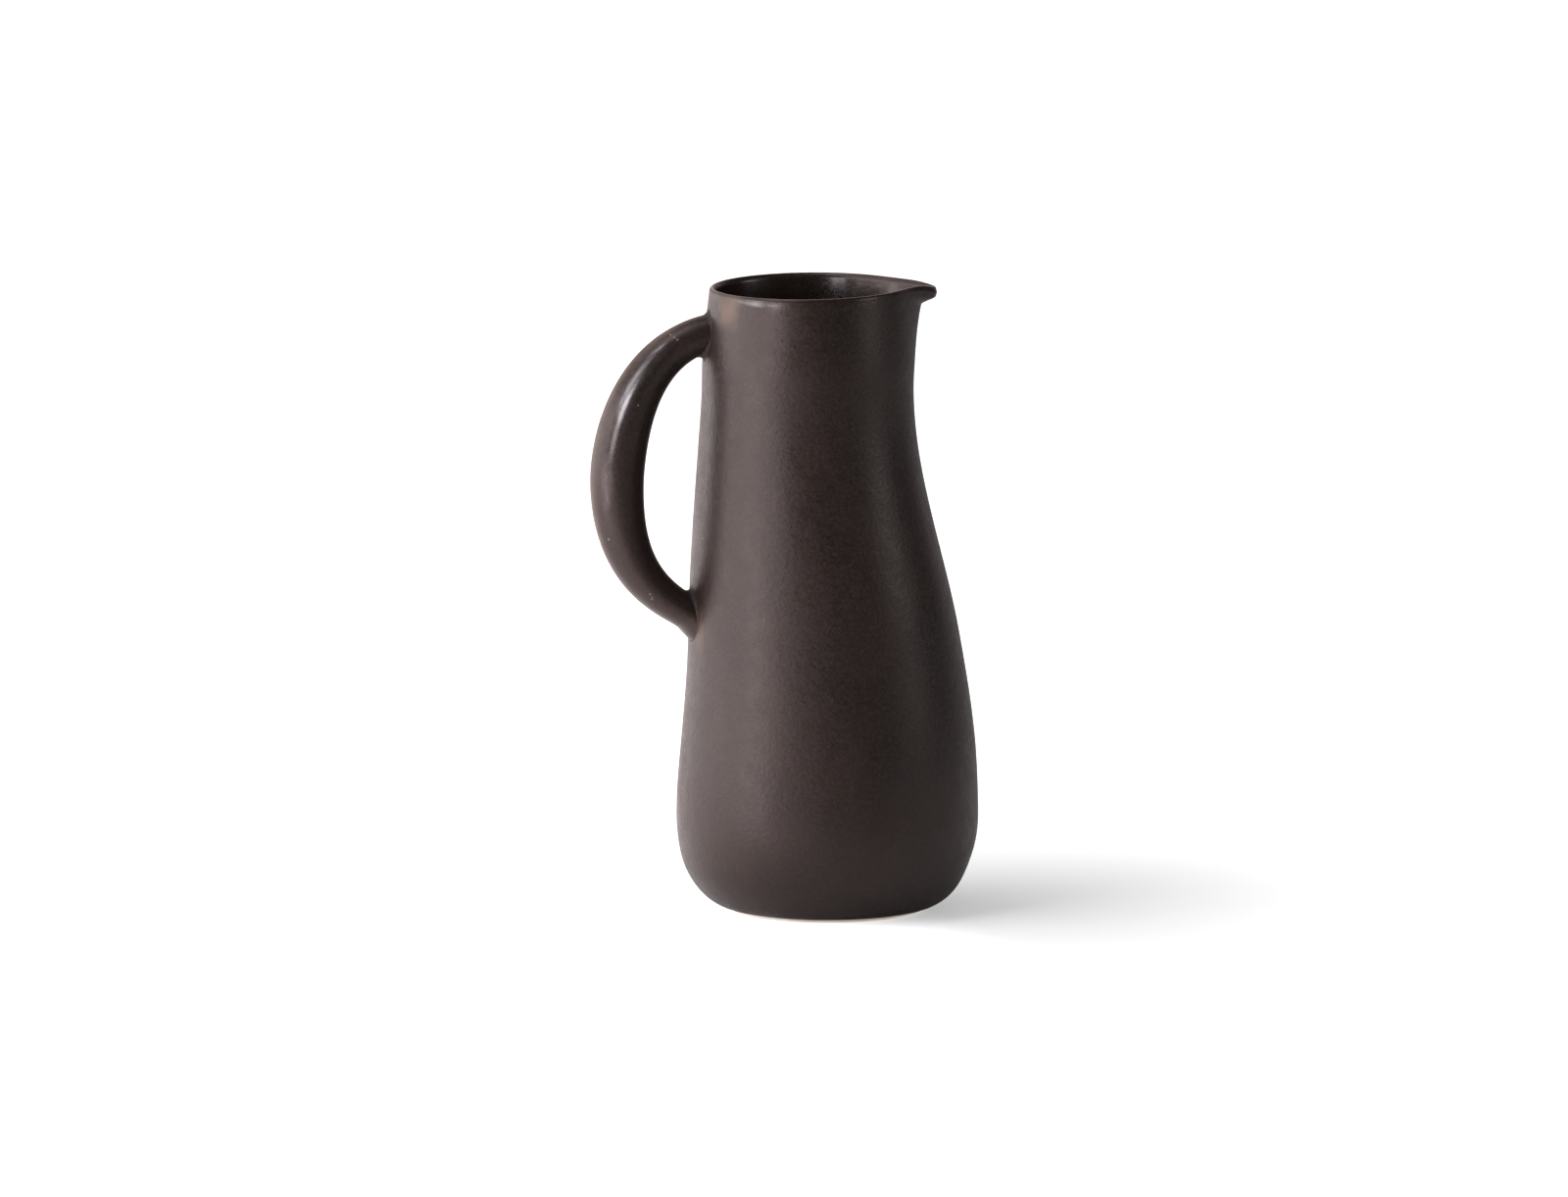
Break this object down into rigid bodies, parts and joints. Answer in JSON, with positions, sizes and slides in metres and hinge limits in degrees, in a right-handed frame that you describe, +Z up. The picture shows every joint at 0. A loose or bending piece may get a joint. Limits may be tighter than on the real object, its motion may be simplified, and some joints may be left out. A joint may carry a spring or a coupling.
{
  "type": "stoneware jug",
  "caption": "Tall hand-thrown stoneware jug with a full low belly, a narrow neck, a pinched pouring spout and a thick loop handle down its back.",
  "frame": {"origin": "middle of the overall box in X and Y, on the plane that the foot ring stands on", "axes": "+Z up; +X from the handle toward the spout; Y across the jug. The foot's axis stands at X = +19.2 mm."},
  "size_m": [0.168, 0.1296, 0.2699],
  "materials": {
    "dark_glaze": "satin, dark brown",
    "bare_clay": "matt, unglazed"
  },
  "bodies": {
    "root": {"jug_body": "dark_glaze", "loop_handle": "dark_glaze", "upper_luting_coil": "dark_glaze", "lower_luting_coil": "dark_glaze", "foot_ring": "bare_clay"}
  },
  "joints": []
}
